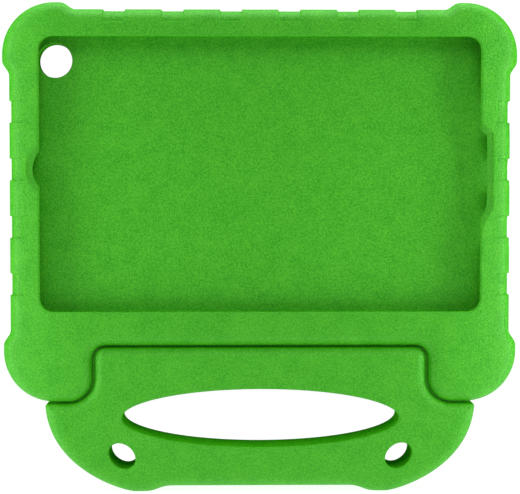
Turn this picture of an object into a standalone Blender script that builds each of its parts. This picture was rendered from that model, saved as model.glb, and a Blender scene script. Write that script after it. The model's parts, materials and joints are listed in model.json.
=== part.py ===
"""Kids tablet case of moulded foam, standing on the lobes of its handle.

X is the width, +Y points to the back and +Z is up. The origin is on the ground, midway in width and thickness.
The body holds a shallow bay under a front lip. The handle's tongue sits between the body's two lower ears
and folds backward on a rod that is hidden in the foam.
"""

import math

import bmesh
import bpy
from mathutils import Matrix, Vector
from mathutils.geometry import interpolate_bezier

# Driving dimensions of the bay and the walls around it, in metres
THICKNESS = 0.0250
BAY_W = 0.2460
BAY_H = 0.1500
BAY_D = 0.0080
BAY_CORNER_R = 0.0090
LIP_T = 0.0030
LIP_OVER_SIDE = 0.0075
LIP_OVER_TOP = 0.0030
LIP_EDGE_R = 0.0010
WINDOW_CORNER_R = 0.0072
SIDE_WALL = 0.0084
TOP_WALL = 0.0113
BOTTOM_RAIL = 0.0149

# Rounding of the outer edges
FRONT_EDGE_R = 0.0040
BACK_EDGE_R = 0.0050

# Bumpers on the top corners and ears on the lower ones
BUMPER_PROUD = 0.0036
BUMPER_R = 0.0272
EAR_PROUD = 0.0036
EAR_R = 0.0265
EAR_INNER_R = 0.0125
BUMP_STRAIGHT = 0.0046
BUMP_RAMP = 0.0053

# Shallow grip grooves that cross the top and the side walls
GROOVE_W = 0.0113
GROOVE_DEPTH = 0.0010
GROOVE_FACE_DEPTH = 0.0004
GROOVE_WRAP = 0.0074
TOP_GROOVES = 6
TOP_GROOVE_PITCH = 0.0306
SIDE_GROOVES = 4
SIDE_GROOVE_PITCH = 0.0301
SIDE_GROOVE_RISE = 0.0028

# Finger notches in the front lip, measured from the middle of the bay
ROUND_NOTCH_RISE = 0.0027
ROUND_NOTCH_R = 0.0131
ROUND_NOTCH_REACH = 0.0034
LONG_NOTCH_RISE = 0.0019
LONG_NOTCH_HALF = 0.0187
LONG_NOTCH_REACH = 0.0034
LONG_NOTCH_UPPER_RUN = 0.0030
LONG_NOTCH_LOWER_RUN = 0.0062
NOTCH_BEVEL = 0.0028

# Openings through the back and the right wall
LENS_HOLE_R = 0.0090
LENS_HOLE_INSET = 0.0150
LENS_FLARE = 0.0030
PLUG_SLOT_L = 0.0150
SPEAKER_SLOT_L = 0.0180
SPEAKER_SLOT_OFFSET = 0.0300
SIDE_SLOT_W = 0.0066

# Handle, measured up from the ground
PARTING_GAP = 0.0010
SHOULDER_Z = 0.0468
TONGUE_RISE = 0.0297
TONGUE_HALF_W = 0.0875
TONGUE_CORNER_R = 0.0058
SHOULDER_HALF_W = 0.1135
GRIP_TUCK = 0.0015
GRIP_DROP = 0.0355
GRIP_SWEEP = 0.0059
LOBE_X = 0.0640
LOBE_FLAT = 0.0040
GRIP_ARCH = 0.0030
GRIP_ARCH_RUN = 0.0160
HAND_HOLE_Z = 0.03935
HAND_HOLE_HALF_W = 0.0730
HAND_HOLE_HALF_H = 0.01525
HAND_HOLE_EDGE_R = 0.0015
STRAP_HOLE_X = 0.0728
STRAP_HOLE_Z = 0.0197
STRAP_HOLE_HALF_L = 0.0074
STRAP_HOLE_HALF_W = 0.0053
STRAP_HOLE_TILT = math.radians(37.5)
STRAP_HOLE_EDGE_R = 0.0010

# Hinge rod: its axis lies this far below the tongue's top and inside its back face
HINGE_SET_IN = 0.0060
ROD_R = 0.0020
ROD_CLEARANCE = 0.0003
ROD_END_GRIP = 0.0120

# Resolution of the round stretches
ARC_STEP = math.radians(15)
EDGE_STEPS = 3
SMALL_EDGE_STEPS = 2
CURVE_STEPS = 12
SMALLEST_R = 0.0004
OVERRUN = 0.0020

# Places that follow from the dimensions above
FRONT_Y = -THICKNESS / 2
BACK_Y = THICKNESS / 2
BAY_FRONT_Y = FRONT_Y + LIP_T
BAY_FLOOR_Y = BAY_FRONT_Y + BAY_D
TONGUE_TOP_Z = SHOULDER_Z + TONGUE_RISE
BODY_BOTTOM_Z = TONGUE_TOP_Z + PARTING_GAP
EAR_BOTTOM_Z = SHOULDER_Z + PARTING_GAP
POCKET_HALF_W = TONGUE_HALF_W + PARTING_GAP
BAY_BOTTOM_Z = BODY_BOTTOM_Z + BOTTOM_RAIL
BAY_MIDDLE_Z = BAY_BOTTOM_Z + BAY_H / 2
BODY_TOP_Z = BAY_BOTTOM_Z + BAY_H + TOP_WALL
BODY_HALF_W = BAY_W / 2 + SIDE_WALL
WINDOW_HALF_W = BAY_W / 2 - LIP_OVER_SIDE
WINDOW_HALF_H = BAY_H / 2 - LIP_OVER_TOP
HINGE_Y = BACK_Y - HINGE_SET_IN
HINGE_Z = TONGUE_TOP_Z - HINGE_SET_IN

FOAM_GREEN = (0.075, 0.46, 0.022)
ROD_GREY = (0.42, 0.43, 0.44)


def clear_scene():
    for item in list(bpy.data.objects):
        bpy.data.objects.remove(item, do_unlink=True)


def material(name, colour, roughness, metallic=0.0):
    made = bpy.data.materials.new(name)
    made.use_nodes = True
    shader = made.node_tree.nodes["Principled BSDF"]
    shader.inputs["Base Color"].default_value = (*colour, 1.0)
    shader.inputs["Roughness"].default_value = roughness
    shader.inputs["Metallic"].default_value = metallic
    return made


def round_corner(before, corner, after, radius):
    """Points of the arc that rounds one corner of an outline."""
    towards_before = (before - corner).normalized()
    towards_after = (after - corner).normalized()
    half_angle = towards_before.angle(towards_after) / 2
    turn = math.pi - 2 * half_angle
    bisector = (towards_before + towards_after).normalized()
    centre = corner + bisector * (radius / math.sin(half_angle))
    start = corner + towards_before * (radius / math.tan(half_angle)) - centre
    side = 1.0 if start.cross(corner - centre) > 0 else -1.0
    steps = max(1, math.ceil(turn / ARC_STEP - 0.001))
    points = []
    for step in range(steps + 1):
        angle = side * turn * step / steps
        cosine = math.cos(angle)
        sine = math.sin(angle)
        points.append(centre + Vector((start.x * cosine - start.y * sine, start.x * sine + start.y * cosine)))
    return points


def inset_corner(before, corner, after, distance):
    """The corner moved along its mitre, and 1 where an anticlockwise outline turns outward there or -1."""
    came = (corner - before).normalized()
    goes = (after - corner).normalized()
    left_came = Vector((-came.y, came.x))
    left_goes = Vector((-goes.y, goes.x))
    mitre = (left_came + left_goes).normalized()
    turns = 1 if came.cross(goes) > 0 else -1
    return corner + mitre * (distance / mitre.dot(left_goes)), turns


def outline_points(corners, distance=0.0):
    """Anticlockwise outline of (x, z, radius) corners, inset by the distance, with its corners rounded."""
    places = [Vector((x, z)) for x, z, _ in corners]
    count = len(corners)
    moved = []
    for index, (_, _, radius) in enumerate(corners):
        place, turns = inset_corner(places[index - 1], places[index], places[(index + 1) % count], distance)
        moved.append((place, max(radius - turns * distance, SMALLEST_R) if radius else 0))
    points = []
    for index, (place, radius) in enumerate(moved):
        if radius:
            points += round_corner(moved[index - 1][0], place, moved[(index + 1) % count][0], radius)
        else:
            points.append(place)
    return points


def mirrored(right_half):
    """Both halves of a closed outline, from the corners of its right half, bottom to top or top to bottom."""
    left_half = [(-x, z, radius) for x, z, radius in reversed(right_half)]
    return right_half + left_half


def ellipse(x, z, half_w, half_h, turns_of_step=1, tilt=0.0):
    """Corners of an ellipse, or of a circle where both halves are the same."""
    steps = round(2 * math.pi / ARC_STEP * turns_of_step)
    turn = Matrix.Rotation(tilt, 2)
    corners = []
    for step in range(steps):
        angle = 2 * math.pi * step / steps
        across, up = turn @ Vector((half_w * math.cos(angle), half_h * math.sin(angle)))
        corners.append((x + across, z + up, 0))
    return corners


def rounded_rectangle(x, z, half_w, half_h, radius):
    return [
        (x + half_w, z - half_h, radius),
        (x + half_w, z + half_h, radius),
        (x - half_w, z + half_h, radius),
        (x - half_w, z - half_h, radius),
    ]


def rounding(radius, face_y, direction, steps):
    """(inset, y) pairs from a flat face, over a rounded edge, to the wall below it."""
    pairs = []
    for step in range(steps + 1):
        angle = math.pi / 2 * step / steps
        pairs.append((radius * (1 - math.sin(angle)), face_y + direction * radius * (1 - math.cos(angle))))
    return pairs


def wall(mesh, corners, profile):
    """Rings of quads that follow the outline down the profile; returns the edges of the first and last ring."""
    rings = []
    for distance, y in profile:
        rings.append([mesh.verts.new((point.x, y, point.y)) for point in outline_points(corners, distance)])
    count = len(rings[0])
    for upper, lower in zip(rings, rings[1:]):
        for index in range(count):
            following = (index + 1) % count
            mesh.faces.new((upper[index], upper[following], lower[following], lower[index]))
    ends = []
    for ring in (rings[0], rings[-1]):
        ends.append([mesh.edges.get((ring[index], ring[(index + 1) % count])) for index in range(count)])
    return ends


def cap(mesh, *borders):
    """Flat face between one outer border and any holes in it."""
    edges = [edge for border in borders for edge in border]
    bmesh.ops.triangle_fill(mesh, edges=edges, use_beauty=True, use_dissolve=False)


def to_object(name, mesh, finish=None):
    bmesh.ops.recalc_face_normals(mesh, faces=mesh.faces)
    data = bpy.data.meshes.new(name)
    mesh.to_mesh(data)
    mesh.free()
    made = bpy.data.objects.new(name, data)
    bpy.context.scene.collection.objects.link(made)
    if finish:
        data.materials.append(finish)
        data.shade_smooth()
        data.set_sharp_from_angle(angle=math.radians(40))
    return made


def as_cutter(cutter):
    cutter.hide_render = True
    cutter.display_type = "WIRE"
    return cutter


def boolean(target, cutter):
    change = target.modifiers.new(cutter.name, "BOOLEAN")
    change.operation = "DIFFERENCE"
    change.solver = "EXACT"
    change.object = as_cutter(cutter)


def prism(mesh, corners, place, depth):
    """Closed prism: place puts an outline's point at a height, and depth is the pair of heights."""
    loop = outline_points(corners)
    low, high = depth
    bottom = [mesh.verts.new(place(point, low)) for point in loop]
    top = [mesh.verts.new(place(point, high)) for point in loop]
    count = len(loop)
    for index in range(count):
        following = (index + 1) % count
        mesh.faces.new((bottom[index], bottom[following], top[following], top[index]))
    mesh.faces.new(bottom)
    mesh.faces.new(top)


def side_ramp(proud_half_w, end_z, towards):
    """Two corners where a bumper or ear falls back to the side wall."""
    start_z = end_z + towards * BUMP_STRAIGHT
    return [
        (proud_half_w, start_z, 0),
        (BODY_HALF_W, start_z + towards * BUMP_RAMP, 0),
    ]


def body_outline():
    """Right half from the middle of the lower edge, round the ear, up the side and over the bumper."""
    ear_half_w = BODY_HALF_W + EAR_PROUD
    bumper_half_w = BODY_HALF_W + BUMPER_PROUD
    bumper_top_z = BODY_TOP_Z + BUMPER_PROUD
    top_ramp_x = bumper_half_w - BUMPER_R - BUMP_STRAIGHT
    right_half = [
        (POCKET_HALF_W, BODY_BOTTOM_Z, TONGUE_CORNER_R + PARTING_GAP),
        (POCKET_HALF_W, EAR_BOTTOM_Z, EAR_INNER_R),
        (ear_half_w, EAR_BOTTOM_Z, EAR_R),
        *side_ramp(ear_half_w, EAR_BOTTOM_Z + EAR_R, 1),
        *reversed(side_ramp(bumper_half_w, bumper_top_z - BUMPER_R, -1)),
        (bumper_half_w, bumper_top_z, BUMPER_R),
        (top_ramp_x, bumper_top_z, 0),
        (top_ramp_x - BUMP_RAMP, BODY_TOP_Z, 0),
    ]
    return mirrored(right_half)


def straight_side():
    """Lowest and highest point of the side wall between ear and bumper."""
    low = EAR_BOTTOM_Z + EAR_R + BUMP_STRAIGHT + BUMP_RAMP
    high = BODY_TOP_Z + BUMPER_PROUD - BUMPER_R - BUMP_STRAIGHT - BUMP_RAMP
    return low, high


def lens_centre():
    x = -(BAY_W / 2 - LENS_HOLE_INSET)
    z = BAY_BOTTOM_Z + BAY_H - LENS_HOLE_INSET
    return x, z


def body_shell():
    """The body's walls and flat faces, from the front face down to the bay's floor and out to the back."""
    mesh = bmesh.new()
    outer = body_outline()
    window = rounded_rectangle(0, BAY_MIDDLE_Z, WINDOW_HALF_W, WINDOW_HALF_H, WINDOW_CORNER_R)
    bay = rounded_rectangle(0, BAY_MIDDLE_Z, BAY_W / 2, BAY_H / 2, BAY_CORNER_R)
    lens_x, lens_z = lens_centre()
    lens = ellipse(lens_x, lens_z, LENS_HOLE_R, LENS_HOLE_R)

    outer_front, outer_back = wall(
        mesh,
        outer,
        rounding(FRONT_EDGE_R, FRONT_Y, 1, EDGE_STEPS) + rounding(BACK_EDGE_R, BACK_Y, -1, EDGE_STEPS)[::-1],
    )
    lip_profile = rounding(-LIP_EDGE_R, FRONT_Y, -1, SMALL_EDGE_STEPS) + [(0, BAY_FRONT_Y)]
    window_front, window_under = wall(mesh, window, lip_profile)
    bay_top, bay_floor = wall(mesh, bay, [(0, BAY_FRONT_Y), (0, BAY_FLOOR_Y)])
    lens_profile = [(0, BAY_FLOOR_Y), (0, BACK_Y - LENS_FLARE), (-LENS_FLARE, BACK_Y)]
    lens_floor, lens_back = wall(mesh, lens, lens_profile)

    cap(mesh, outer_front, window_front)
    cap(mesh, window_under, bay_top)
    cap(mesh, bay_floor, lens_floor)
    cap(mesh, outer_back, lens_back)
    return mesh


def groove_section():
    """Section of a groove cutter: (outward, y) points that keep the groove's depth round both edges."""
    front = []
    back = []
    for step in range(EDGE_STEPS + 1):
        angle = math.pi / 2 * step / EDGE_STEPS
        rise = 1 - math.sin(angle)
        fall = 1 - math.cos(angle)
        front_out = -GROOVE_DEPTH - (FRONT_EDGE_R - GROOVE_DEPTH) * rise
        front_y = FRONT_Y + GROOVE_FACE_DEPTH + (FRONT_EDGE_R - GROOVE_FACE_DEPTH) * fall
        back_out = -GROOVE_DEPTH - (BACK_EDGE_R - GROOVE_DEPTH) * rise
        back_y = BACK_Y - GROOVE_FACE_DEPTH - (BACK_EDGE_R - GROOVE_FACE_DEPTH) * fall
        front.append((front_out, front_y))
        back.append((back_out, back_y))
    section = [(-GROOVE_WRAP, FRONT_Y - OVERRUN), (-GROOVE_WRAP, FRONT_Y + GROOVE_FACE_DEPTH)]
    section += front
    section += back[::-1]
    section += [(-GROOVE_WRAP, BACK_Y - GROOVE_FACE_DEPTH), (-GROOVE_WRAP, BACK_Y + OVERRUN)]
    section += [(OVERRUN, BACK_Y + OVERRUN), (OVERRUN, FRONT_Y - OVERRUN)]
    return [(out, y, 0) for out, y in section]


def row_of(count, pitch):
    return [(index - (count - 1) / 2) * pitch for index in range(count)]


def grooves():
    mesh = bmesh.new()
    section = groove_section()
    low, high = straight_side()
    for shift in row_of(TOP_GROOVES, TOP_GROOVE_PITCH):
        span = (shift - GROOVE_W / 2, shift + GROOVE_W / 2)
        prism(mesh, section, lambda point, x: (x, point.y, BODY_TOP_Z + point.x), span)
    for shift in row_of(SIDE_GROOVES, SIDE_GROOVE_PITCH):
        middle = (low + high) / 2 + SIDE_GROOVE_RISE + shift
        span = (middle - GROOVE_W / 2, middle + GROOVE_W / 2)
        prism(mesh, section, lambda point, z: (BODY_HALF_W + point.x, point.y, z), span)
        prism(mesh, section, lambda point, z: (-BODY_HALF_W - point.x, point.y, z), span)
    return to_object("groove_cutter", mesh)


def lip_notches():
    """A round and a long finger notch, wider at the front face than under the lip."""
    mesh = bmesh.new()
    slope = NOTCH_BEVEL / LIP_T
    profile = []
    for y in (FRONT_Y - OVERRUN, BAY_FRONT_Y + OVERRUN):
        profile.append(((y - BAY_FRONT_Y) * slope, y))
    round_x = -(WINDOW_HALF_W + ROUND_NOTCH_REACH - ROUND_NOTCH_R)
    round_z = BAY_MIDDLE_Z + ROUND_NOTCH_RISE
    round_notch = ellipse(round_x, round_z, ROUND_NOTCH_R, ROUND_NOTCH_R, 2)
    long_x = WINDOW_HALF_W + LONG_NOTCH_REACH
    long_z = BAY_MIDDLE_Z + LONG_NOTCH_RISE
    lower_run = LONG_NOTCH_LOWER_RUN / LONG_NOTCH_REACH
    upper_run = LONG_NOTCH_UPPER_RUN / LONG_NOTCH_REACH
    depth = LONG_NOTCH_REACH + ROUND_NOTCH_R
    long_notch = [
        (long_x - depth, long_z - LONG_NOTCH_HALF - depth * lower_run, 0),
        (long_x, long_z - LONG_NOTCH_HALF, 0),
        (long_x, long_z + LONG_NOTCH_HALF, 0),
        (long_x - depth, long_z + LONG_NOTCH_HALF + depth * upper_run, 0),
    ]
    for notch in (round_notch, long_notch):
        front, back = wall(mesh, notch, profile)
        cap(mesh, front)
        cap(mesh, back)
    return to_object("lip_notch_cutter", mesh)


def side_slots():
    """A plug slot between two speaker slots, through the right wall at the middle of the bay's depth."""
    mesh = bmesh.new()
    middle_y = (BAY_FRONT_Y + BAY_FLOOR_Y) / 2
    span = (BAY_W / 2 - OVERRUN, BODY_HALF_W + OVERRUN)
    slots = ((0, PLUG_SLOT_L), (-SPEAKER_SLOT_OFFSET, SPEAKER_SLOT_L), (SPEAKER_SLOT_OFFSET, SPEAKER_SLOT_L))
    half_w = SIDE_SLOT_W / 2
    for offset, length in slots:
        slot = rounded_rectangle(middle_y, BAY_MIDDLE_Z + offset, half_w, length / 2, half_w - SMALLEST_R)
        prism(mesh, slot, lambda point, x: (x, point.x, point.y), span)
    return to_object("side_slot_cutter", mesh)


def rod_hole():
    return ellipse(HINGE_Y, HINGE_Z, ROD_R + ROD_CLEARANCE, ROD_R + ROD_CLEARANCE)


def rod_sockets():
    """Blind sockets for the rod's ends in the foam beside the tongue."""
    mesh = bmesh.new()
    socket = rod_hole()
    reach = POCKET_HALF_W + ROD_END_GRIP + ROD_CLEARANCE
    for side in (-1, 1):
        span = sorted((side * (POCKET_HALF_W - OVERRUN), side * reach))
        prism(mesh, socket, lambda point, x: (x, point.x, point.y), span)
    return to_object("rod_socket_cutter", mesh)


def build_body(foam):
    body = to_object("case_body", body_shell(), foam)
    boolean(body, grooves())
    boolean(body, lip_notches())
    boolean(body, side_slots())
    boolean(body, rod_sockets())
    return body


def curve(start, start_handle, end_handle, end):
    """Corners along a smooth curve, without its end point."""
    knots = [Vector(point).to_3d() for point in (start, start_handle, end_handle, end)]
    points = interpolate_bezier(*knots, CURVE_STEPS + 1)
    return [(point.x, point.y, 0) for point in points[:-1]]


def handle_outline():
    """Right half from the middle of the grip's lower edge, round the lobe and up to the tongue's top."""
    arch_end_x = LOBE_X - LOBE_FLAT / 2
    arch_start_x = arch_end_x - GRIP_ARCH_RUN
    lobe_end_x = LOBE_X + LOBE_FLAT / 2
    ease = GRIP_ARCH_RUN / 2
    arch = curve(
        (arch_start_x, GRIP_ARCH),
        (arch_start_x + ease, GRIP_ARCH),
        (arch_end_x - ease, 0),
        (arch_end_x, 0),
    )
    side = curve(
        (lobe_end_x, 0),
        (lobe_end_x + GRIP_SWEEP, 0),
        (SHOULDER_HALF_W - GRIP_TUCK, SHOULDER_Z - GRIP_DROP),
        (SHOULDER_HALF_W, SHOULDER_Z),
    )
    right_half = [
        *arch,
        (arch_end_x, 0, 0),
        *side,
        (SHOULDER_HALF_W, SHOULDER_Z, 0),
        (TONGUE_HALF_W, SHOULDER_Z, EAR_INNER_R + PARTING_GAP),
        (TONGUE_HALF_W, TONGUE_TOP_Z, TONGUE_CORNER_R),
    ]
    return mirrored(right_half)


def hole_profile(radius):
    """(inset, y) pairs down a through hole with both rims rounded outward."""
    front = rounding(-radius, FRONT_Y, -1, SMALL_EDGE_STEPS)
    back = rounding(-radius, BACK_Y, 1, SMALL_EDGE_STEPS)
    return front + back[::-1]


def rod_bore():
    """Bore for the rod through the whole width of the tongue."""
    mesh = bmesh.new()
    reach = TONGUE_HALF_W + OVERRUN
    prism(mesh, rod_hole(), lambda point, x: (x, point.x, point.y), (-reach, reach))
    return to_object("rod_bore_cutter", mesh)


def build_handle(foam):
    mesh = bmesh.new()
    outer_front, outer_back = wall(
        mesh,
        handle_outline(),
        rounding(FRONT_EDGE_R, FRONT_Y, 1, EDGE_STEPS) + rounding(BACK_EDGE_R, BACK_Y, -1, EDGE_STEPS)[::-1],
    )
    hand = ellipse(0, HAND_HOLE_Z, HAND_HOLE_HALF_W, HAND_HOLE_HALF_H, 2)
    fronts = [outer_front]
    backs = [outer_back]
    front, back = wall(mesh, hand, hole_profile(HAND_HOLE_EDGE_R))
    fronts.append(front)
    backs.append(back)
    for side in (-1, 1):
        tilt = side * STRAP_HOLE_TILT
        strap = ellipse(side * STRAP_HOLE_X, STRAP_HOLE_Z, STRAP_HOLE_HALF_L, STRAP_HOLE_HALF_W, 1, tilt)
        front, back = wall(mesh, strap, hole_profile(STRAP_HOLE_EDGE_R))
        fronts.append(front)
        backs.append(back)
    cap(mesh, *fronts)
    cap(mesh, *backs)
    handle = to_object("handle", mesh, foam)
    boolean(handle, rod_bore())
    return handle


def build_rod(steel):
    """The rod is modelled about its own axis and placed on the hinge line."""
    mesh = bmesh.new()
    reach = POCKET_HALF_W + ROD_END_GRIP
    section = ellipse(0, 0, ROD_R, ROD_R)
    prism(mesh, section, lambda point, x: (x, point.x, point.y), (-reach, reach))
    rod = to_object("hinge_rod", mesh, steel)
    rod.location = (0, HINGE_Y, HINGE_Z)
    return rod


def main():
    clear_scene()
    foam = material("green_foam", FOAM_GREEN, 0.75)
    steel = material("rod_steel", ROD_GREY, 0.35, 1.0)
    build_body(foam)
    build_handle(foam)
    build_rod(steel)


main()
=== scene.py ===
import json
import math

import bmesh
import bpy
from mathutils import Matrix, Quaternion, Vector
from mathutils.geometry import interpolate_bezier


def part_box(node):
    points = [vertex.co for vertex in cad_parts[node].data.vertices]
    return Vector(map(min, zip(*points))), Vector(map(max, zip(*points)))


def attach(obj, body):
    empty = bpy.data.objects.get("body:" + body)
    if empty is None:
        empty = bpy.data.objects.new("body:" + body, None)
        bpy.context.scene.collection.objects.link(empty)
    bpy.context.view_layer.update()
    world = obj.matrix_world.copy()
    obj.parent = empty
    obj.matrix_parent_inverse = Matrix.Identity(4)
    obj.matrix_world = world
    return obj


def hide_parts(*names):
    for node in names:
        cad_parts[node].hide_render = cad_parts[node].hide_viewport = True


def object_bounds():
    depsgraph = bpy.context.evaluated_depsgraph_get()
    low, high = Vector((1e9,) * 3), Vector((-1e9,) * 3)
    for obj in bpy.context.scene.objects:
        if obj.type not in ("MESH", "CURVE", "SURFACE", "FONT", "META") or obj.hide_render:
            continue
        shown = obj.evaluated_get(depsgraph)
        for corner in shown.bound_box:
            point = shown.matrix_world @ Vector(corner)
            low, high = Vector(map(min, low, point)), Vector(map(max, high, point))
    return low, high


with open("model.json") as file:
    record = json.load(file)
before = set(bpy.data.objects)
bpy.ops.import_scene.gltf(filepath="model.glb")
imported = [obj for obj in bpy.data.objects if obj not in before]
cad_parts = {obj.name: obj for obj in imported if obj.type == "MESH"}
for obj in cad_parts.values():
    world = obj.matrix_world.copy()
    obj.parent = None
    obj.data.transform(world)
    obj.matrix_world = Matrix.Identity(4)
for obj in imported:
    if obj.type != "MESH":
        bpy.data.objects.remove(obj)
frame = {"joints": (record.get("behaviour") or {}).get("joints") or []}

# Kids tablet case: two smooth foam mouldings and a steel rod, in metres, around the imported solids.
# X is the width, +Y points to the back and +Z is up, with the lobes of the handle on the ground.

cad_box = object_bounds()
body_low, body_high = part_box("case_body")
_, handle_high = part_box("handle")
rod_low, rod_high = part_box("hinge_rod")
hinge_place = Vector(frame["joints"][0]["pos_m"])

# The bay, the lip over its edge and the window in the lip
BAY_W = 0.2460
BAY_H = 0.1500
BAY_D = 0.0080
BAY_CORNER_R = 0.0090
BAY_FLOOR_R = 0.0006
LIP_T = 0.0030
LIP_OVER_SIDE = 0.0075
LIP_OVER_TOP = 0.0030
LIP_EDGE_R = 0.0010
LIP_UNDER_R = 0.0004
WINDOW_CORNER_R = 0.0072
BOTTOM_RAIL = 0.0149

# Edges of the mouldings: a slight crown, a soft crease and a round edge
FRONT_EDGE_RUN = 0.0041
FRONT_EDGE_DEPTH = 0.0054
BACK_EDGE_RUN = 0.0046
BACK_EDGE_DEPTH = 0.0050
CREASE_LEAN = math.radians(38)
CREASE_RUN = 0.0007
CROWN_RUN = 0.0080
CROWN_DROP = 0.00022

# Bumpers on the top corners and ears on the lower ones
BUMPER_PROUD = 0.0036
BUMPER_R = 0.0272
EAR_PROUD = 0.0036
EAR_R = 0.0265
EAR_INNER_R = 0.0125
BUMP_STRAIGHT = 0.0046
BUMP_RAMP = 0.0053
RAMP_CREST_R = 0.0055
RAMP_FOOT_R = 0.0045

# Grip grooves across the top and the side walls
GROOVE_W = 0.0113
GROOVE_DEPTH = 0.0010
GROOVE_FACE_DEPTH = 0.0008
SIDE_GROOVE_WRAP = 0.0077
TOP_GROOVE_WRAP = 0.0067
GROOVE_SOFT = 0.0004
GROOVE_LINE_SOFT = 0.0004
TOP_GROOVES = 6
TOP_GROOVE_PITCH = 0.0306
SIDE_GROOVES = 4
SIDE_GROOVE_PITCH = 0.0301
SIDE_GROOVE_RISE = 0.0028

# Finger notches in the lip
ROUND_NOTCH_RISE = 0.0027
ROUND_NOTCH_R = 0.0131
NOTCH_REACH = 0.0034
LONG_NOTCH_RISE = 0.0019
LONG_NOTCH_HALF = 0.0187
LONG_NOTCH_UPPER_RUN = 0.0030
LONG_NOTCH_LOWER_RUN = 0.0062
NOTCH_BEVEL = 0.0028
NOTCH_SOFT = 0.0007

# Openings through the back and the right wall
LENS_HOLE_R = 0.0090
LENS_HOLE_INSET = 0.0150
LENS_FLARE = 0.0030
LENS_EDGE_R = 0.0005
SIDE_SLOTS = ((0.0, 0.0150), (-0.0300, 0.0180), (0.0300, 0.0180))
SIDE_SLOT_W = 0.0066
SLOT_EDGE_R = 0.0005

# Handle
PARTING_GAP = 0.0010
TONGUE_HALF_W = 0.0875
TONGUE_CORNER_R = 0.0058
SHOULDER_HALF_W = 0.1135
SHOULDER_R = 0.0018
GRIP_TUCK = 0.0015
GRIP_DROP = 0.0355
GRIP_SWEEP = 0.0059
LOBE_X = 0.0640
LOBE_FLAT = 0.0040
GRIP_ARCH = 0.0030
GRIP_ARCH_RUN = 0.0160
HAND_HOLE_Z = 0.03935
HAND_HOLE_HALF_W = 0.0730
HAND_HOLE_HALF_H = 0.01525
HAND_HOLE_EDGE_R = 0.0012
STRAP_HOLE_X = 0.0728
STRAP_HOLE_Z = 0.0194
STRAP_HOLE_HALF_L = 0.0077
STRAP_HOLE_HALF_W = 0.0059
STRAP_HOLE_TILT = math.radians(40.0)
STRAP_HOLE_EDGE_R = 0.0011
STRAP_HOLE_EDGE_DEPTH = 0.0012
PARTING_RIB = 0.00095
PARTING_RIB_ROOT = 0.0006
PARTING_RIB_YS = (-0.0060, -0.0015)

# Rod
ROD_CLEARANCE = 0.0003
ROD_CHAMFER = 0.0004
OVERRUN = 0.0020

# Fineness of the meshes
ARC_STEP = math.radians(3)
EDGE_STEPS = 9
CROWN_STEPS = 4
SMALL_EDGE_STEPS = 4
WALL_STEP = 0.0007
STRAIGHT_STEP = 0.0040
DETAIL_STEPS = 8
CURVE_STEPS = 40
SUPPORT = 0.0003
TIGHTEST_R = 0.0003
STEP_SLACK = 0.001
MERGE_DISTANCE = 0.000002
SHARP_ANGLE = math.radians(38)

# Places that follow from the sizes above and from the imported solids
FRONT_Y = body_low.y
BACK_Y = body_high.y
BAY_FRONT_Y = FRONT_Y + LIP_T
BAY_FLOOR_Y = BAY_FRONT_Y + BAY_D
EAR_BOTTOM_Z = body_low.z
SHOULDER_Z = EAR_BOTTOM_Z - PARTING_GAP
TONGUE_TOP_Z = handle_high.z
BODY_BOTTOM_Z = TONGUE_TOP_Z + PARTING_GAP
BODY_TOP_Z = body_high.z - BUMPER_PROUD
BODY_HALF_W = body_high.x - BUMPER_PROUD
POCKET_HALF_W = TONGUE_HALF_W + PARTING_GAP
BAY_BOTTOM_Z = BODY_BOTTOM_Z + BOTTOM_RAIL
BAY_MIDDLE_Z = BAY_BOTTOM_Z + BAY_H / 2
WINDOW_HALF_W = BAY_W / 2 - LIP_OVER_SIDE
WINDOW_HALF_H = BAY_H / 2 - LIP_OVER_TOP
SIDE_LOW_Z = EAR_BOTTOM_Z + EAR_R + BUMP_STRAIGHT + BUMP_RAMP
SIDE_HIGH_Z = body_high.z - BUMPER_R - BUMP_STRAIGHT - BUMP_RAMP
SLOT_Y = (BAY_FRONT_Y + BAY_FLOOR_Y) / 2


def row_of(count, pitch, middle=0.0):
    return [middle + (index - (count - 1) / 2) * pitch for index in range(count)]


TOP_GROOVE_XS = row_of(TOP_GROOVES, TOP_GROOVE_PITCH)
SIDE_GROOVE_ZS = row_of(SIDE_GROOVES, SIDE_GROOVE_PITCH, (SIDE_LOW_Z + SIDE_HIGH_Z) / 2 + SIDE_GROOVE_RISE)


# Small sums

def eased(value):
    """0 below 0, 1 above 1, and a smooth step between."""
    value = min(max(value, 0.0), 1.0)
    return value * value * (3 - 2 * value)


def plateau(offset, half_w, soft):
    """1 where the offset is inside the half width and 0 outside, with an edge of the given softness."""
    return eased((half_w + soft / 2 - abs(offset)) / soft)


def soft_larger(first, second, soft):
    return (first + second + math.sqrt((first - second) ** 2 + soft * soft)) / 2


def soft_smaller(first, second, soft):
    return -soft_larger(-first, -second, soft)


# Outlines

def corner_turn(before, corner, after):
    return (corner - before).angle(after - corner)


def rounded_corner(before, corner, after, radius, steps):
    """Points of the arc that rounds one corner."""
    towards_before = (before - corner).normalized()
    towards_after = (after - corner).normalized()
    half_angle = towards_before.angle(towards_after) / 2
    turn = math.pi - 2 * half_angle
    bisector = (towards_before + towards_after).normalized()
    centre = corner + bisector * (radius / math.sin(half_angle))
    start = corner + towards_before * (radius / math.tan(half_angle)) - centre
    side = 1.0 if start.cross(corner - centre) > 0 else -1.0
    points = []
    for step in range(steps + 1):
        angle = side * turn * step / steps
        cosine = math.cos(angle)
        sine = math.sin(angle)
        turned = Vector((start.x * cosine - start.y * sine, start.x * sine + start.y * cosine))
        points.append(centre + turned)
    return points


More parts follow.
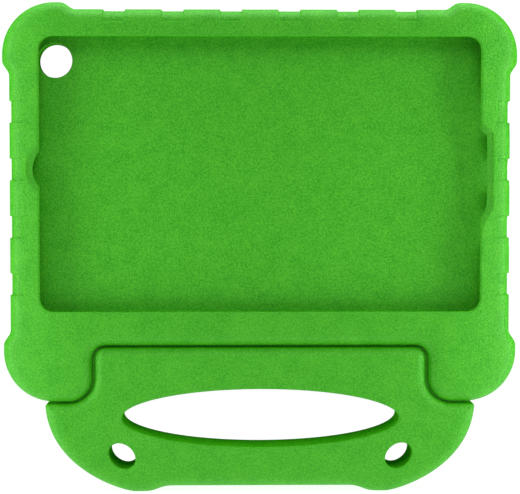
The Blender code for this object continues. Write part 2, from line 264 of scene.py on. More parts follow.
def moved_corner(before, corner, after, distance):
    """The corner moved along its mitre, and 1 where the outline turns outward there or -1."""
    came = (corner - before).normalized()
    goes = (after - corner).normalized()
    left_came = Vector((-came.y, came.x))
    left_goes = Vector((-goes.y, goes.x))
    mitre = (left_came + left_goes).normalized()
    turns = 1 if came.cross(goes) > 0 else -1
    return corner + mitre * (distance / mitre.dot(left_goes)), turns


class Outline:
    """A closed anticlockwise outline of (x, z, radius) corners, which can be inset for a wall's rings."""

    def __init__(self, corners, details_x=(), details_z=()):
        self.places = [Vector((x, z)) for x, z, _ in corners]
        self.radii = [radius for _, _, radius in corners]
        self.steps = []
        for index, place in enumerate(self.places):
            turn = corner_turn(self.places[index - 1], place, self.places[(index + 1) % len(corners)])
            self.steps.append(max(1, math.ceil(turn / ARC_STEP - STEP_SLACK)))
        self.marks = [[] for _ in corners]
        runs = self.runs(0.0)
        margin = CROWN_RUN / 2
        for index, run in enumerate(runs):
            start = run[-1]
            end = runs[(index + 1) % len(runs)][0]
            self.marks[index] = edge_marks(start, end, details_x, details_z, margin)

    def runs(self, inset):
        """The arc, or the one point, at each corner of the inset outline."""
        count = len(self.places)
        moved = []
        for index, (place, radius) in enumerate(zip(self.places, self.radii)):
            after = self.places[(index + 1) % count]
            corner, turns = moved_corner(self.places[index - 1], place, after, inset)
            moved.append((corner, max(radius - turns * inset, TIGHTEST_R) if radius else 0.0))
        for index, radius in enumerate(self.radii):
            if radius and inset > 0:
                self.gather(moved, index, -1)
                self.gather(moved, index, 1)
        runs = []
        for index, (corner, radius) in enumerate(moved):
            if radius:
                before = next_apart(moved, index, -1)
                after = next_apart(moved, index, 1)
                runs.append(rounded_corner(before, corner, after, radius, self.steps[index]))
            else:
                runs.append([corner])
        return runs

    def gather(self, moved, index, direction):
        """Keeps the points of a curve beside a moved corner on their own side of its mitre."""
        corner = moved[index][0]
        mitre = corner - self.places[index]
        step = index + direction
        while self.radii[step % len(moved)] == 0:
            beside = step % len(moved)
            side = mitre.cross(self.places[beside] - self.places[index])
            if mitre.cross(moved[beside][0] - corner) * side > 0:
                break
            moved[beside] = (corner, 0.0)
            step += direction

    def ring(self, inset):
        """All the points of the inset outline, with the marks along its straight edges."""
        runs = self.runs(inset)
        points = []
        for index, run in enumerate(runs):
            points += run
            start = run[-1]
            end = runs[(index + 1) % len(runs)][0]
            for axis, value in self.marks[index]:
                points.append(start.lerp(end, (value - start[axis]) / (end[axis] - start[axis])))
        return points


def next_apart(moved, index, direction):
    """The nearest corner before or after this one that hasn't been gathered into it."""
    step = index + direction
    while (moved[step % len(moved)][0] - moved[index][0]).length < MERGE_DISTANCE:
        step += direction
    return moved[step % len(moved)][0]


def edge_marks(start, end, details_x, details_z, margin):
    """(axis, value) marks along a straight edge: evenly spaced ones, and the details on its axis."""
    along = end - start
    axis = 0 if abs(along.x) > abs(along.y) else 1
    low, high = sorted((start[axis], end[axis]))
    if high - low < STRAIGHT_STEP + 2 * margin:
        return []
    count = int((high - low - 2 * margin) / STRAIGHT_STEP)
    values = [low + margin + (high - low - 2 * margin) * step / count for step in range(count + 1)]
    details = [value for value in (details_x, details_z)[axis] if low + margin < value < high - margin]
    closest = STRAIGHT_STEP / 4
    values = [value for value in values if all(abs(value - detail) > closest for detail in details)]
    values = sorted(values + details, reverse=along[axis] < 0)
    return [(axis, value) for value in values]


def around(place, soft):
    """Marks across a soft step."""
    return [place + soft * (step / DETAIL_STEPS - 0.5) for step in range(DETAIL_STEPS + 1)]


def mirrored(right_half):
    left_half = [(-x, z, radius) for x, z, radius in reversed(right_half)]
    return right_half + left_half


def ellipse(x, z, half_w, half_h, tilt=0.0):
    steps = round(2 * math.pi / ARC_STEP)
    turn = Matrix.Rotation(tilt, 2)
    corners = []
    for step in range(steps):
        angle = 2 * math.pi * step / steps
        across, up = turn @ Vector((half_w * math.cos(angle), half_h * math.sin(angle)))
        corners.append((x + across, z + up, 0.0))
    return Outline(corners)


def rounded_rectangle(x, z, half_w, half_h, radius, details_z=()):
    corners = [
        (x + half_w, z - half_h, radius),
        (x + half_w, z + half_h, radius),
        (x - half_w, z + half_h, radius),
        (x - half_w, z - half_h, radius),
    ]
    return Outline(corners, details_z=details_z)


def body_outline():
    """From the middle of the lower edge, round the ear, up the side and over the bumper, and back."""
    ear_half_w = BODY_HALF_W + EAR_PROUD
    bumper_half_w = BODY_HALF_W + BUMPER_PROUD
    bumper_top_z = BODY_TOP_Z + BUMPER_PROUD
    ear_top_z = EAR_BOTTOM_Z + EAR_R + BUMP_STRAIGHT
    bumper_low_z = bumper_top_z - BUMPER_R - BUMP_STRAIGHT
    top_ramp_x = bumper_half_w - BUMPER_R - BUMP_STRAIGHT
    right_half = [
        (POCKET_HALF_W, BODY_BOTTOM_Z, TONGUE_CORNER_R + PARTING_GAP),
        (POCKET_HALF_W, EAR_BOTTOM_Z, EAR_INNER_R),
        (ear_half_w, EAR_BOTTOM_Z, EAR_R),
        (ear_half_w, ear_top_z, RAMP_CREST_R),
        (BODY_HALF_W, ear_top_z + BUMP_RAMP, RAMP_FOOT_R),
        (BODY_HALF_W, bumper_low_z - BUMP_RAMP, RAMP_FOOT_R),
        (bumper_half_w, bumper_low_z, RAMP_CREST_R),
        (bumper_half_w, bumper_top_z, BUMPER_R),
        (top_ramp_x, bumper_top_z, RAMP_CREST_R),
        (top_ramp_x - BUMP_RAMP, BODY_TOP_Z, RAMP_FOOT_R),
    ]
    details_x = []
    for x in TOP_GROOVE_XS:
        details_x += around(x - GROOVE_W / 2, GROOVE_SOFT) + around(x + GROOVE_W / 2, GROOVE_SOFT)
    details_z = []
    for z in SIDE_GROOVE_ZS:
        details_z += around(z - GROOVE_W / 2, GROOVE_SOFT) + around(z + GROOVE_W / 2, GROOVE_SOFT)
    return Outline(mirrored(right_half), details_x, details_z)


def curve(start, start_handle, end_handle, end):
    """Corners along a smooth curve, without its end point."""
    knots = [Vector(point).to_3d() for point in (start, start_handle, end_handle, end)]
    points = interpolate_bezier(*knots, CURVE_STEPS + 1)
    return [(point.x, point.y, 0.0) for point in points[:-1]]


def handle_outline():
    """From the middle of the grip's lower edge, round the lobe and up to the tongue's top, and back."""
    arch_end_x = LOBE_X - LOBE_FLAT / 2
    arch_start_x = arch_end_x - GRIP_ARCH_RUN
    lobe_end_x = LOBE_X + LOBE_FLAT / 2
    ease = GRIP_ARCH_RUN / 2
    arch = curve(
        (arch_start_x, GRIP_ARCH),
        (arch_start_x + ease, GRIP_ARCH),
        (arch_end_x - ease, 0),
        (arch_end_x, 0),
    )
    side = curve(
        (lobe_end_x, 0),
        (lobe_end_x + GRIP_SWEEP, 0),
        (SHOULDER_HALF_W - GRIP_TUCK, SHOULDER_Z - GRIP_DROP),
        (SHOULDER_HALF_W, SHOULDER_Z),
    )
    right_half = [
        *arch,
        (arch_end_x, 0, 0.0),
        *side,
        (SHOULDER_HALF_W, SHOULDER_Z, SHOULDER_R),
        (TONGUE_HALF_W, SHOULDER_Z, EAR_INNER_R + PARTING_GAP),
        (TONGUE_HALF_W, TONGUE_TOP_Z, TONGUE_CORNER_R),
    ]
    return Outline(mirrored(right_half))


# Sections through the edges, as levels of (inset, y, lean); lean is 0 on a face and a right angle on a wall

def crowned_edge(face_y, into, edge_run, edge_depth):
    """From a face over its crown, crease and round edge to the wall; into is 1 in front and -1 behind."""
    levels = [(CROWN_RUN + SUPPORT, face_y, 0.0)]
    insets = [CROWN_RUN]
    for wrap in (SIDE_GROOVE_WRAP, TOP_GROOVE_WRAP):
        insets += [wrap + GROOVE_LINE_SOFT / 2, wrap, wrap - GROOVE_LINE_SOFT / 2]
    inner = insets[-1]
    outer = edge_run + CREASE_RUN / 2
    insets += [inner + (outer - inner) * step / CROWN_STEPS for step in range(1, CROWN_STEPS + 1)]
    for inset in insets:
        share = (CROWN_RUN - inset) / (CROWN_RUN - outer)
        lean = math.atan(2 * CROWN_DROP * share / (CROWN_RUN - outer))
        levels.append((inset, face_y + into * CROWN_DROP * share * share, lean))
    radius = edge_run / (1 - math.sin(CREASE_LEAN))
    squeeze = (edge_depth - CROWN_DROP) / (radius * math.cos(CREASE_LEAN))
    for step in range(EDGE_STEPS + 1):
        turn = CREASE_LEAN + (math.pi / 2 - CREASE_LEAN) * step / EDGE_STEPS
        inset = radius * (1 - math.sin(turn))
        if inset > edge_run - CREASE_RUN / 2:
            continue
        depth = CROWN_DROP + squeeze * radius * (math.cos(CREASE_LEAN) - math.cos(turn))
        lean = math.atan2(squeeze * math.sin(turn), math.cos(turn))
        levels.append((inset, face_y + into * depth, lean))
    return levels


def down_wall(start_y, end_y, inset=0.0):
    """Levels between two heights of a straight wall, without its ends."""
    steps = max(1, round(abs(end_y - start_y) / WALL_STEP))
    return [(inset, start_y + (end_y - start_y) * step / steps, math.pi / 2) for step in range(1, steps)]


def moulded_section():
    """All the way from the front face, over both edges, to the back face."""
    front = crowned_edge(FRONT_Y, 1, FRONT_EDGE_RUN, FRONT_EDGE_DEPTH)
    back = crowned_edge(BACK_Y, -1, BACK_EDGE_RUN, BACK_EDGE_DEPTH)[::-1]
    return front + down_wall(front[-1][1], back[0][1]) + back


def rim(radius, face_y, into, depth=0.0):
    """From a face round an opening's rim to the opening's wall; a rim can be deeper than it is wide."""
    levels = [(-radius - SUPPORT, face_y, 0.0)]
    for step in range(SMALL_EDGE_STEPS + 1):
        lean = math.pi / 2 * step / SMALL_EDGE_STEPS
        fall = (depth or radius) * (1 - math.cos(lean))
        levels.append((-radius * (1 - math.sin(lean)), face_y + into * fall, lean))
    return levels


def through_section(radius, depth=0.0):
    """From the front face through an opening to the back face."""
    front = rim(radius, FRONT_Y, 1, depth)
    back = rim(radius, BACK_Y, -1, depth)[::-1]
    return front + down_wall(front[-1][1], back[0][1]) + back


# Shapes that change a ring's points

def groove_share(x, z):
    """How deep a point lies in a grip groove, the direction out of it and its reach over the face."""
    if z > BODY_TOP_Z - CROWN_RUN - SUPPORT and abs(x) < TOP_GROOVE_XS[-1] + GROOVE_W:
        share = max(plateau(x - middle, GROOVE_W / 2, GROOVE_SOFT) for middle in TOP_GROOVE_XS)
        return share, Vector((0, 1)), TOP_GROOVE_WRAP
    if abs(x) > BODY_HALF_W - CROWN_RUN - SUPPORT and SIDE_LOW_Z < z < SIDE_HIGH_Z:
        share = max(plateau(z - middle, GROOVE_W / 2, GROOVE_SOFT) for middle in SIDE_GROOVE_ZS)
        return share, Vector((math.copysign(1, x), 0)), SIDE_GROOVE_WRAP
    return 0.0, Vector((0, 0)), TOP_GROOVE_WRAP


def body_shape(point, y, inset, lean):
    """Sinks the grip grooves into the edge."""
    share, outward, wrap = groove_share(point.x, point.y)
    line = eased((wrap + GROOVE_LINE_SOFT / 2 - inset) / GROOVE_LINE_SOFT)
    moved = point - outward * (share * GROOVE_DEPTH * math.sin(lean))
    into = 1 if y < 0 else -1
    sunk_y = y + into * share * line * GROOVE_FACE_DEPTH * math.cos(lean)
    return moved.x, sunk_y, moved.y


def plain_shape(point, y, inset, lean):
    return point.x, y, point.y


def round_notch_depth(z, widen):
    """How far the round notch reaches past the window's left edge at this height."""
    radius = ROUND_NOTCH_R + widen
    away = min(abs(z - BAY_MIDDLE_Z - ROUND_NOTCH_RISE), radius)
    reach = math.sqrt(radius * radius - away * away) - (ROUND_NOTCH_R - NOTCH_REACH)
    return soft_larger(reach, 0.0, NOTCH_SOFT)


def long_notch_depth(z, widen):
    """How far the long notch reaches past the window's right edge at this height."""
    rise = z - BAY_MIDDLE_Z - LONG_NOTCH_RISE
    reach = NOTCH_REACH + widen
    ends = (
        (LONG_NOTCH_HALF - rise, LONG_NOTCH_UPPER_RUN),
        (LONG_NOTCH_HALF + rise, LONG_NOTCH_LOWER_RUN),
    )
    for end, run in ends:
        slope = NOTCH_REACH / run
        ramp = NOTCH_REACH + end * slope + widen * math.hypot(1, slope)
        reach = soft_smaller(reach, ramp, NOTCH_SOFT)
    return soft_larger(reach, 0.0, NOTCH_SOFT)


def window_shape(point, y, inset, lean):
    """Pushes the window's edge out into the two finger notches."""
    widen = NOTCH_BEVEL * (BAY_FRONT_Y - y) / LIP_T
    straight = WINDOW_HALF_H - WINDOW_CORNER_R
    if abs(point.y - BAY_MIDDLE_Z) > straight:
        return point.x, y, point.y
    if point.x < 0:
        return point.x - round_notch_depth(point.y, widen), y, point.y
    return point.x + long_notch_depth(point.y, widen), y, point.y


# Meshes

def wall(mesh, outline, levels, shape=plain_shape):
    """Rings of quads that follow the outline down the levels."""
    rings = []
    for inset, y, lean in levels:
        rings.append([mesh.verts.new(shape(point, y, inset, lean)) for point in outline.ring(inset)])
    count = len(rings[0])
    for upper, lower in zip(rings, rings[1:]):
        for index in range(count):
            following = (index + 1) % count
            mesh.faces.new((upper[index], upper[following], lower[following], lower[index]))


def close(mesh, *heights):
    """Merges what meets, then fills the flat faces between the borders that lie at each height in y."""
    bmesh.ops.remove_doubles(mesh, verts=mesh.verts, dist=MERGE_DISTANCE)
    for height in heights:
        border = []
        for edge in mesh.edges:
            if edge.is_boundary and all(abs(vert.co.y - height) < MERGE_DISTANCE for vert in edge.verts):
                border.append(edge)
        bmesh.ops.triangle_fill(mesh, edges=border, use_beauty=True, use_dissolve=False)


def parting_rib(mesh, outline):
    """A low rib on the body's side of the parting gap, half way in, that keeps light out of the gap."""
    root = outline.ring(PARTING_RIB_ROOT)
    crest = outline.ring(-PARTING_RIB)
    count = len(crest)
    beside_handle = []
    for place in crest:
        beside_handle.append(abs(place.x) < SHOULDER_HALF_W - SHOULDER_R and place.y < BODY_BOTTOM_Z)
    front_y, back_y = PARTING_RIB_YS
    corners = ((root, front_y), (crest, front_y), (crest, back_y), (root, back_y))
    loops = {}
    for index in range(count):
        if beside_handle[index]:
            loops[index] = [mesh.verts.new((ring[index].x, y, ring[index].y)) for ring, y in corners]
    for index, loop in loops.items():
        following = loops.get((index + 1) % count)
        if following is None or (index - 1) % count not in loops:
            mesh.faces.new(loop)
        if following is not None:
            for first in range(4):
                second = (first + 1) % 4
                mesh.faces.new((loop[first], loop[second], following[second], following[first]))


def close_ends(mesh):
    """Fills the two open ends of each bar."""
    bmesh.ops.holes_fill(mesh, edges=[edge for edge in mesh.edges if edge.is_boundary])


def to_object(name, mesh):
    bmesh.ops.recalc_face_normals(mesh, faces=mesh.faces)
    data = bpy.data.meshes.new(name)
    mesh.to_mesh(data)
    mesh.free()
    made = bpy.data.objects.new(name, data)
    bpy.context.scene.collection.objects.link(made)
    return made


def settled(piece, cutters):
    """Cuts the cutters out of the piece for good, and removes them."""
    for cutter in cutters:
        change = piece.modifiers.new(cutter.name, "BOOLEAN")
        change.operation = "DIFFERENCE"
        change.solver = "EXACT"
        change.object = cutter
    evaluated = piece.evaluated_get(bpy.context.evaluated_depsgraph_get())
    piece.data = bpy.data.meshes.new_from_object(evaluated)
    piece.modifiers.clear()
    for cutter in cutters:
        bpy.data.objects.remove(cutter, do_unlink=True)
    return piece


def joined(piece, other):
    """Adds another piece's faces to this one."""
    mesh = bmesh.new()
    mesh.from_mesh(piece.data)
    mesh.from_mesh(other.data)
    mesh.to_mesh(piece.data)
    mesh.free()
    bpy.data.objects.remove(other, do_unlink=True)


def smooth(piece):
    piece.data.shade_smooth()
    piece.data.set_sharp_from_angle(angle=SHARP_ANGLE)


def along_x(point, y, inset, lean):
    """Stands an outline's rings on the X axis: its corners are (y, z) and its levels run in x."""
    return y, point.x, point.y


def side_slot_cutter():
    """Slots through the right wall, with rims that open to both sides."""
    mesh = bmesh.new()
    inner_x = BAY_W / 2
    half_w = SIDE_SLOT_W / 2
    inside = rim(SLOT_EDGE_R, inner_x, 1)
    outside = rim(SLOT_EDGE_R, BODY_HALF_W, -1)[::-1]
    levels = [(-SLOT_EDGE_R, inner_x - OVERRUN, 0.0)] + inside[1:] + outside[:-1]
    levels.append((-SLOT_EDGE_R, BODY_HALF_W + OVERRUN, 0.0))
    for offset, length in SIDE_SLOTS:
        slot = rounded_rectangle(SLOT_Y, BAY_MIDDLE_Z + offset, half_w, length / 2, half_w - TIGHTEST_R)
        wall(mesh, slot, levels, along_x)
    close_ends(mesh)
    return to_object("slot_cutter", mesh)


def rod_cutter(name, spans):
    mesh = bmesh.new()
    radius = (rod_high.z - rod_low.z) / 2 + ROD_CLEARANCE
    bore = ellipse(hinge_place.y, hinge_place.z, radius, radius)
    for low, high in spans:
        wall(mesh, bore, [(0.0, low, 0.0), (0.0, high, 0.0)], along_x)
    close_ends(mesh)
    return to_object(name, mesh)


def make_body():
    mesh = bmesh.new()
    notch_marks = []
    reach = ROUND_NOTCH_R + LONG_NOTCH_HALF
    steps = round(2 * reach / WALL_STEP)
    for step in range(steps + 1):
        notch_marks.append(BAY_MIDDLE_Z - reach + 2 * reach * step / steps)
    window = rounded_rectangle(0, BAY_MIDDLE_Z, WINDOW_HALF_W, WINDOW_HALF_H, WINDOW_CORNER_R, notch_marks)
    bay = rounded_rectangle(0, BAY_MIDDLE_Z, BAY_W / 2, BAY_H / 2, BAY_CORNER_R)
    lens_x = -(BAY_W / 2 - LENS_HOLE_INSET)
    lens_z = BAY_BOTTOM_Z + BAY_H - LENS_HOLE_INSET
    lens = ellipse(lens_x, lens_z, LENS_HOLE_R, LENS_HOLE_R)

    outline = body_outline()
    wall(mesh, outline, moulded_section(), body_shape)

    lip_top = rim(LIP_EDGE_R, FRONT_Y, 1)
    lip_under = rim(LIP_UNDER_R, BAY_FRONT_Y, -1)[::-1]
    lip_levels = lip_top + down_wall(lip_top[-1][1], lip_under[0][1]) + lip_under
    wall(mesh, window, lip_levels, window_shape)

    bay_levels = [(0.0, BAY_FRONT_Y, math.pi / 2), (0.0, BAY_FRONT_Y + SUPPORT, math.pi / 2)]
    bay_levels += down_wall(BAY_FRONT_Y + SUPPORT, BAY_FLOOR_Y - BAY_FLOOR_R)
    for step in range(SMALL_EDGE_STEPS + 1):
        angle = math.pi / 2 * step / SMALL_EDGE_STEPS
        inset = BAY_FLOOR_R * (1 - math.cos(angle))
        bay_levels.append((inset, BAY_FLOOR_Y - BAY_FLOOR_R * (1 - math.sin(angle)), math.pi / 2 - angle))
    bay_levels.append((BAY_FLOOR_R + SUPPORT, BAY_FLOOR_Y, 0.0))
    wall(mesh, bay, bay_levels)

    lens_top = rim(LENS_EDGE_R, BAY_FLOOR_Y, 1)
    flare_start_y = BACK_Y - LENS_FLARE
    lens_levels = lens_top + down_wall(lens_top[-1][1], flare_start_y)
    lens_levels += [
        (0.0, flare_start_y, math.pi / 2),
        (-LENS_FLARE, BACK_Y - LENS_EDGE_R, math.pi / 4),
        (-LENS_FLARE - LENS_EDGE_R / 2, BACK_Y - LENS_EDGE_R / 5, math.pi / 8),
        (-LENS_FLARE - LENS_EDGE_R, BACK_Y, 0.0),
        (-LENS_FLARE - LENS_EDGE_R - SUPPORT, BACK_Y, 0.0),
    ]
    wall(mesh, lens, lens_levels)

    close(mesh, FRONT_Y, BAY_FRONT_Y, BAY_FLOOR_Y, BACK_Y)
    body = to_object("body_moulding", mesh)
    rib_mesh = bmesh.new()
    parting_rib(rib_mesh, outline)
    rib = to_object("parting_rib", rib_mesh)

    socket_depth = rod_high.x + ROD_CLEARANCE
    spans = [(POCKET_HALF_W - OVERRUN, socket_depth), (-socket_depth, OVERRUN - POCKET_HALF_W)]
    settled(body, [side_slot_cutter(), rod_cutter("socket_cutter", spans)])
    joined(body, rib)
    smooth(body)
    return body


def make_handle():
    mesh = bmesh.new()
    wall(mesh, handle_outline(), moulded_section())
    hand_hole = ellipse(0, HAND_HOLE_Z, HAND_HOLE_HALF_W, HAND_HOLE_HALF_H)
    wall(mesh, hand_hole, through_section(HAND_HOLE_EDGE_R))
    for side in (-1, 1):
        tilt = side * STRAP_HOLE_TILT
        strap_hole = ellipse(side * STRAP_HOLE_X, STRAP_HOLE_Z, STRAP_HOLE_HALF_L, STRAP_HOLE_HALF_W, tilt)
        wall(mesh, strap_hole, through_section(STRAP_HOLE_EDGE_R, STRAP_HOLE_EDGE_DEPTH))
    close(mesh, FRONT_Y, BACK_Y)
    handle = to_object("handle_moulding", mesh)
    reach = TONGUE_HALF_W + OVERRUN
    settled(handle, [rod_cutter("bore_cutter", [(-reach, reach)])])
    smooth(handle)
    return handle


def make_rod():
    """Turned steel rod with chamfered ends."""
    mesh = bmesh.new()
    radius = (rod_high.z - rod_low.z) / 2
    section = ellipse(hinge_place.y, hinge_place.z, radius, radius)
    end = rod_high.x
    levels = [(ROD_CHAMFER, -end, 0.0), (0.0, ROD_CHAMFER - end, 0.0)]
    levels += [(0.0, end - ROD_CHAMFER, 0.0), (ROD_CHAMFER, end, 0.0)]
    wall(mesh, section, levels, along_x)
    close_ends(mesh)
    rod = to_object("turned_rod", mesh)
    smooth(rod)
    return rod


# Finishes

class Value:
    """A node's output socket. Arithmetic on it adds Math nodes, and add() makes any other node."""

    def __init__(self, tree, socket=None):
        self.tree = tree
        self.socket = socket

    def add(self, kind, settings=None, inputs=None, output=0):
        """A new node: its settings are set first, then its input sockets get values or links."""
        node = self.tree.nodes.new(kind)
        for name, setting in (settings or {}).items():
            setattr(node, name, setting)
        for name, value in (inputs or {}).items():
            if isinstance(value, Value):
                self.tree.links.new(value.socket, node.inputs[name])
            else:
                node.inputs[name].default_value = value
        return Value(self.tree, node.outputs[output])

    def maths(self, operation, *values):
        return self.add("ShaderNodeMath", {"operation": operation}, dict(enumerate(values)))

    def size(self):
        return self.maths("ABSOLUTE", self)

    def at_least(self, lowest):
        return self.maths("MAXIMUM", self, lowest)

    def __add__(self, other):
        return self.maths("ADD", self, other)

    __radd__ = __add__

    def __sub__(self, other):
        return self.maths("SUBTRACT", self, other)

    def __rsub__(self, other):
        return self.maths("SUBTRACT", other, self)

    def __mul__(self, other):
        return self.maths("MULTIPLY", self, other)

    __rmul__ = __mul__


def noise(values, place, size, detail, roughness=0.5):
    """Noise with blotches of about the given size, in metres."""
    inputs = {"Vector": place, "Scale": 1 / size, "Detail": detail, "Roughness": roughness}
    return values.add("ShaderNodeTexNoise", None, inputs)


def blend_of(factor, first, second):
    inputs = {0: factor, 6: (*first, 1), 7: (*second, 1)}
    return factor.add("ShaderNodeMix", {"data_type": "RGBA"}, inputs, 2)


def smooth_step(value, low, high, below=0.0, above=1.0):
    """Below where the value is under low, above where it is over high, and a smooth step between."""
    settings = {"interpolation_type": "SMOOTHSTEP"}
    inputs = {"Value": value, "From Min": low, "From Max": high, "To Min": below, "To Max": above}
    return value.add("ShaderNodeMapRange", settings, inputs)


def new_material(name):
    made = bpy.data.materials.new(name)
    made.use_nodes = True
    shader = made.node_tree.nodes["Principled BSDF"]
    return made, shader, Value(made.node_tree)


def plug_in(shader, links):
    for name, value in links.items():
        value.tree.links.new(value.socket, shader.inputs[name])


# Foam: the sizes and the relief of what its skin is made of, in metres
PEBBLE_SIZE = 0.0011
PEBBLE_SOFTNESS = 0.6
SAND_SIZE = 0.00045
GRAIN_SIZE = 0.00065
CLOUD_SIZE = 0.009
SWELL_SIZE = 0.045
GRAIN_DEPTH = 0.0003
PEBBLE_RELIEF = 0.55
SAND_RELIEF = 0.45
GRAIN_RELIEF = 0.6

# Foam: the slight dome of its faces, which starts at an X and reaches a slope at the side walls
DOME_START_X = 0.0960
DOME_SLOPE = 0.26

# Foam: what its green is mixed from, between which tones it goes from dark to light, and its gloss
GRAIN_TONE = 0.65
SAND_TONE = 0.2
CLOUD_TONE = 0.15
DARK_TONE = 0.36
LIGHT_TONE = 0.64
DARK_GREEN = (0.023, 0.372, 0.0)
LIGHT_GREEN = (0.093, 0.566, 0.016)
FOAM_ROUGHNESS = 0.41
GRAIN_ROUGHNESS = 0.10
SWELL_ROUGHNESS = 0.06
FACE_SHEEN = 0.39

# Foam: painted shade on surfaces that face sideways (walls of holes and of the bay, the parting gap, the
# outer sides): how squarely a surface faces front or back where its gloss starts and where it is full;
# below the start its gloss is taken off so it reads darker
PAINTED_SHADE_FULL_BELOW = 0.25
PAINTED_SHADE_NONE_ABOVE = 0.60


def green_foam():
    """Closed-cell foam: a leathery skin over sandy grain, slight clouds in its green, and painted shade on
    walls that face sideways, whose gloss is taken off so they read darker.
    """
    made, shader, values = new_material("green_foam")
    place = values.add("ShaderNodeTexCoord", output=3)
    pebbles = values.add(
        "ShaderNodeTexVoronoi",
        {"feature": "SMOOTH_F1"},
        {"Vector": place, "Scale": 1 / PEBBLE_SIZE, "Smoothness": PEBBLE_SOFTNESS, "Randomness": 1.0},
    )
    sand = noise(values, place, SAND_SIZE, 2.0, 0.6)
    grain = noise(values, place, GRAIN_SIZE, 2.0, 0.55)
    clouds = noise(values, place, CLOUD_SIZE, 3.0)
    swell = noise(values, place, SWELL_SIZE, 1.0)
    across = values.add("ShaderNodeSeparateXYZ", None, {"Vector": place})
    beyond = (across.size() - DOME_START_X).at_least(0.0)
    dome_w = BODY_HALF_W - DOME_START_X
    dome = beyond * beyond * (DOME_SLOPE / (2 * dome_w * GRAIN_DEPTH))
    height = pebbles * PEBBLE_RELIEF + sand * SAND_RELIEF + grain * GRAIN_RELIEF - dome
    tone = grain * GRAIN_TONE + sand * SAND_TONE + clouds * CLOUD_TONE
    colour = blend_of(smooth_step(tone, DARK_TONE, LIGHT_TONE), DARK_GREEN, LIGHT_GREEN)
    roughness = FOAM_ROUGHNESS + grain * GRAIN_ROUGHNESS + swell * SWELL_ROUGHNESS
    bump = values.add("ShaderNodeBump", None, {"Strength": 1.0, "Distance": GRAIN_DEPTH, "Height": height})
    skin = {"Base Color": colour, "Roughness": roughness, "Normal": bump}
    plug_in(shader, skin)
    shader.inputs["Specular IOR Level"].default_value = FACE_SHEEN
    glossy = Value(values.tree, shader.outputs[0])
    # Painted shade: a copy of the foam without gloss, mixed onto surfaces that face sideways so they read
    # darker
    painted_shade_walls = values.add("ShaderNodeBsdfPrincipled", None, skin | {"Specular IOR Level": 0.0})
    direction = values.add("ShaderNodeTexCoord", output=1)
    facing = values.add("ShaderNodeSeparateXYZ", None, {"Vector": direction}, 1)
    # Mask of the painted shade: full where a surface barely faces front or back, none where it faces them
    # squarely
    painted_shade_mask = smooth_step(facing.size(), PAINTED_SHADE_FULL_BELOW, PAINTED_SHADE_NONE_ABOVE, 1.0, 0.0)
    both = values.add("ShaderNodeMixShader", None, {0: painted_shade_mask, 1: glossy, 2: painted_shade_walls})
    plug_in(made.node_tree.nodes["Material Output"], {"Surface": both})
    return made


# Rod: the fine lines that drawing leaves along it, and its greys
ROD_LINE_SIZE = 0.0003
ROD_LINE_SHRINK = 0.02
ROD_LINE_DEPTH = 0.00002
ROD_LINE_STRENGTH = 0.3
ROD_DARK = (0.36, 0.37, 0.38)
ROD_LIGHT = (0.48, 0.49, 0.50)
ROD_ROUGHNESS = 0.26
ROD_LINE_ROUGHNESS = 0.14


def rod_steel():
    """Drawn steel, with fine lines along the rod."""
    made, shader, values = new_material("rod_steel")
    place = values.add("ShaderNodeTexCoord", output=3)
    along = {"Vector": place, "Scale": (ROD_LINE_SHRINK, 1.0, 1.0)}
    stretched = values.add("ShaderNodeMapping", None, along)
    lines = noise(values, stretched, ROD_LINE_SIZE, 2.0)
    colour = blend_of(lines, ROD_DARK, ROD_LIGHT)
    roughness = ROD_ROUGHNESS + lines * ROD_LINE_ROUGHNESS
    relief = {"Strength": ROD_LINE_STRENGTH, "Distance": ROD_LINE_DEPTH, "Height": lines}
    bump = values.add("ShaderNodeBump", None, relief)
    plug_in(shader, {"Base Color": colour, "Roughness": roughness, "Normal": bump})
    shader.inputs["Metallic"].default_value = 1.0
    return made


def dress(piece, finish, body, node):
    piece.data.materials.clear()
    piece.data.materials.append(finish)
    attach(piece, body)
    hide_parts(node)


# Stage, light and camera

WHITE = (1, 1, 1, 1)
FLOOR_HALF_W = 0.45
FLOOR_GREY = (0.3, 0.3, 0.3, 1)
FLOOR_ROUGHNESS = 0.9
FLOOR_GLOW = 0.92
ROOM_GLOW = 0.10
BACKDROP_GLOW = 1.05
SOFTBOX_L = 0.45
SIDE_SOFTBOX_AWAY = 0.120
SIDE_SOFTBOX_Y = -0.066
SIDE_SOFTBOX_W = 0.06
LEFT_SOFTBOX_POWER = 0.43
RIGHT_SOFTBOX_POWER = 0.48
TOP_SOFTBOX_AWAY = 0.120
TOP_SOFTBOX_Y = -0.005
TOP_SOFTBOX_W = 0.10
TOP_SOFTBOX_POWER = 0.45
FILL_SOFTBOX_Y = -0.70
FILL_SOFTBOX_Z = 0.85
FILL_SOFTBOX_W = 0.60
FILL_SOFTBOX_POWER = 3.1


def make_floor():
    mesh = bmesh.new()
    bmesh.ops.create_grid(mesh, x_segments=1, y_segments=1, size=FLOOR_HALF_W)
    floor = to_object("studio_floor", mesh)
    made, shader, _ = new_material("pale_floor")
    shader.inputs["Base Color"].default_value = FLOOR_GREY
    shader.inputs["Roughness"].default_value = FLOOR_ROUGHNESS
    shader.inputs["Specular IOR Level"].default_value = 0.0
    shader.inputs["Emission Color"].default_value = WHITE
    shader.inputs["Emission Strength"].default_value = FLOOR_GLOW
    floor.data.materials.append(made)


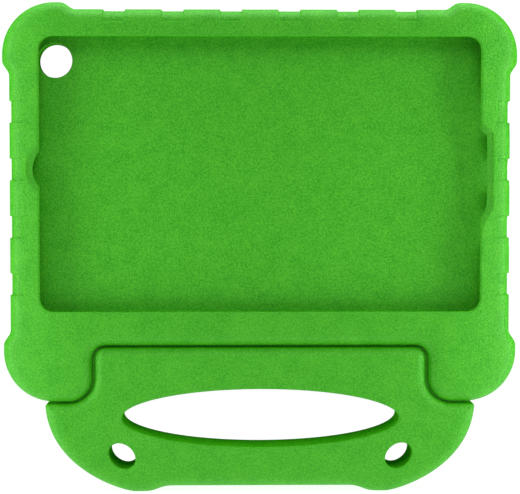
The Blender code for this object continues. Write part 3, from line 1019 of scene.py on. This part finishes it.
def make_light():
    """A dim room round a lit backdrop, with soft lights beside the case, over it and high in front."""
    world = bpy.data.worlds.new("studio")
    world.use_nodes = True
    bpy.context.scene.world = world
    values = Value(world.node_tree)
    seen = values.add("ShaderNodeLightPath")
    strength = ROOM_GLOW + seen * (BACKDROP_GLOW - ROOM_GLOW)
    background = world.node_tree.nodes["Background"]
    background.inputs["Color"].default_value = WHITE
    plug_in(background, {"Strength": strength})
    middle = (cad_box[0][2] + cad_box[1][2]) / 2
    side_x = cad_box[1][0] + SIDE_SOFTBOX_AWAY
    edge_x = cad_box[1][0] - BUMPER_R
    for side, power in ((-1, LEFT_SOFTBOX_POWER), (1, RIGHT_SOFTBOX_POWER)):
        place = Vector((side * side_x, SIDE_SOFTBOX_Y, middle))
        target = Vector((side * edge_x, FRONT_Y, middle))
        make_softbox(f"side_softbox_{side}", place, target, SIDE_SOFTBOX_W, power)
    place = Vector((0, TOP_SOFTBOX_Y, cad_box[1][2] + TOP_SOFTBOX_AWAY))
    target = Vector((0, FRONT_Y, cad_box[1][2]))
    make_softbox("top_softbox", place, target, TOP_SOFTBOX_W, TOP_SOFTBOX_POWER)
    place = Vector((0, FILL_SOFTBOX_Y, FILL_SOFTBOX_Z))
    target = Vector((0, FRONT_Y, middle))
    make_softbox("fill_softbox", place, target, FILL_SOFTBOX_W, FILL_SOFTBOX_POWER)


def make_softbox(name, place, target, width, power):
    """A long soft light that faces its target: upright beside the case, level over it and in front."""
    light = bpy.data.lights.new(name, "AREA")
    light.shape = "RECTANGLE"
    light.size = SOFTBOX_L
    light.size_y = width
    light.energy = power
    placed = bpy.data.objects.new(name, light)
    bpy.context.scene.collection.objects.link(placed)
    placed.location = place
    placed.rotation_mode = "QUATERNION"
    aim = target - place
    placed.rotation_quaternion = aim.to_track_quat("-Z", "Y")
    if abs(aim.x) > abs(aim.z):
        placed.rotation_quaternion = placed.rotation_quaternion @ Quaternion((0, 0, 1), math.pi / 2)
    placed.visible_camera = False


CAMERA_AZIMUTH = math.radians(-0.99)
CAMERA_ELEVATION = math.radians(2.36)
CAMERA_DISTANCE = 0.834
CAMERA_AIM = Vector((-0.00024, FRONT_Y, 0.12949))
PIXELS_WIDE = 520
FOCAL_PIXELS = 1593.3
NEAREST_SEEN = 0.01


def make_camera():
    camera = bpy.data.cameras.new("camera")
    camera.lens = camera.sensor_width * FOCAL_PIXELS / PIXELS_WIDE
    camera.clip_start = NEAREST_SEEN
    placed = bpy.data.objects.new("camera", camera)
    bpy.context.scene.collection.objects.link(placed)
    flat = math.cos(CAMERA_ELEVATION)
    across = math.sin(CAMERA_AZIMUTH) * flat
    forward = -math.cos(CAMERA_AZIMUTH) * flat
    back = Vector((across, forward, math.sin(CAMERA_ELEVATION)))
    placed.location = CAMERA_AIM + back * CAMERA_DISTANCE
    placed.rotation_mode = "QUATERNION"
    placed.rotation_quaternion = (-back).to_track_quat("-Z", "Y")
    bpy.context.scene.camera = placed


def main():
    make_camera()
    foam = green_foam()
    body = make_body()
    dress(body, foam, "case", "case_body")
    handle = make_handle()
    dress(handle, foam, "handle", "handle")
    dress(make_rod(), rod_steel(), "case", "hinge_rod")
    make_floor()
    make_light()
    bpy.context.scene.view_settings.view_transform = "Standard"


main()
